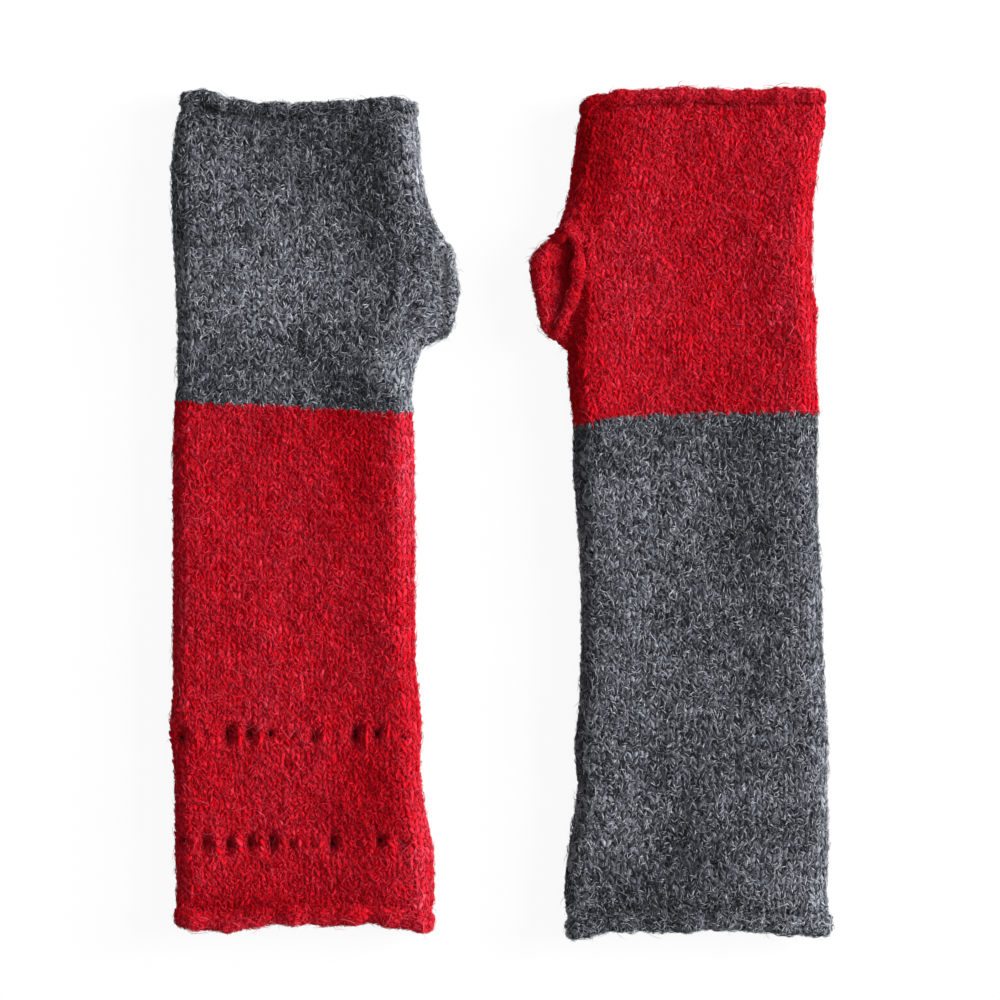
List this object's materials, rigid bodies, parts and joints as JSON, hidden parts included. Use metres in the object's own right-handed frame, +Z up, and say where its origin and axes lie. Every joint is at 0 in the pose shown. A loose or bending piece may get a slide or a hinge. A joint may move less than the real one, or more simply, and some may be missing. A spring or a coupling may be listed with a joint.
{
  "type": "pair of fingerless gloves",
  "caption": "Pair of long knitted wool fingerless gloves lying flat: two-colour tubes with rolled edges, a short thumb sleeve on each and eyelet rows across the cuffs.",
  "frame": {"origin": "middle of the pair on the table, at the centre of its box's base", "axes": "+X across the pair from the left glove to the right one, +Y from the cuffs towards the fingers, +Z up from the table"},
  "size_m": [0.2472, 0.318, 0.0192],
  "materials": {
    "grey_wool": "matte heathered felted knit",
    "red_wool": "matte felted knit"
  },
  "bodies": {
    "left_hand": {"left_hand_tube": "grey_wool", "left_finger_roll": "grey_wool", "left_upper_hand_seam": "grey_wool", "left_lower_hand_seam": "grey_wool"},
    "left_cuff": {"left_cuff_tube": "red_wool", "left_cuff_roll": "red_wool", "left_cuff_seam": "red_wool"},
    "left_thumb": {"left_thumb_tube": "grey_wool", "left_thumb_roll": "grey_wool"},
    "right_hand": {"right_hand_tube": "red_wool", "right_finger_roll": "red_wool", "right_upper_hand_seam": "red_wool", "right_lower_hand_seam": "red_wool"},
    "right_cuff": {"right_cuff_tube": "grey_wool", "right_cuff_roll": "grey_wool", "right_cuff_seam": "grey_wool"},
    "right_thumb": {"right_thumb_tube": "red_wool", "right_thumb_roll": "red_wool"}
  },
  "joints": [
    {"name": "left_wrist_fold", "type": "hinge", "parent": "left_hand", "child": "left_cuff", "pos_m": [-0.0771, 0.0387, 0.0125], "axis": [-1, 0, 0], "range_deg": [0, 140]},
    {"name": "left_thumb_tilt", "type": "hinge", "parent": "left_hand", "child": "left_thumb", "pos_m": [-0.03738, 0.0887, 0.0125], "axis": [0, -1, 0], "range_deg": [0, 50]},
    {"name": "right_glove_lift", "type": "slide", "parent": "left_hand", "child": "right_hand", "axis": [0, 0, 1], "range_m": [0, 0.12]},
    {"name": "right_wrist_fold", "type": "hinge", "parent": "right_hand", "child": "right_cuff", "pos_m": [0.0734, 0.0361, 0.0125], "axis": [-1, 0, 0], "range_deg": [0, 140]},
    {"name": "right_thumb_tilt", "type": "hinge", "parent": "right_hand", "child": "right_thumb", "pos_m": [0.03286, 0.0861, 0.0125], "axis": [0, 1, 0], "range_deg": [0, 30]}
  ]
}
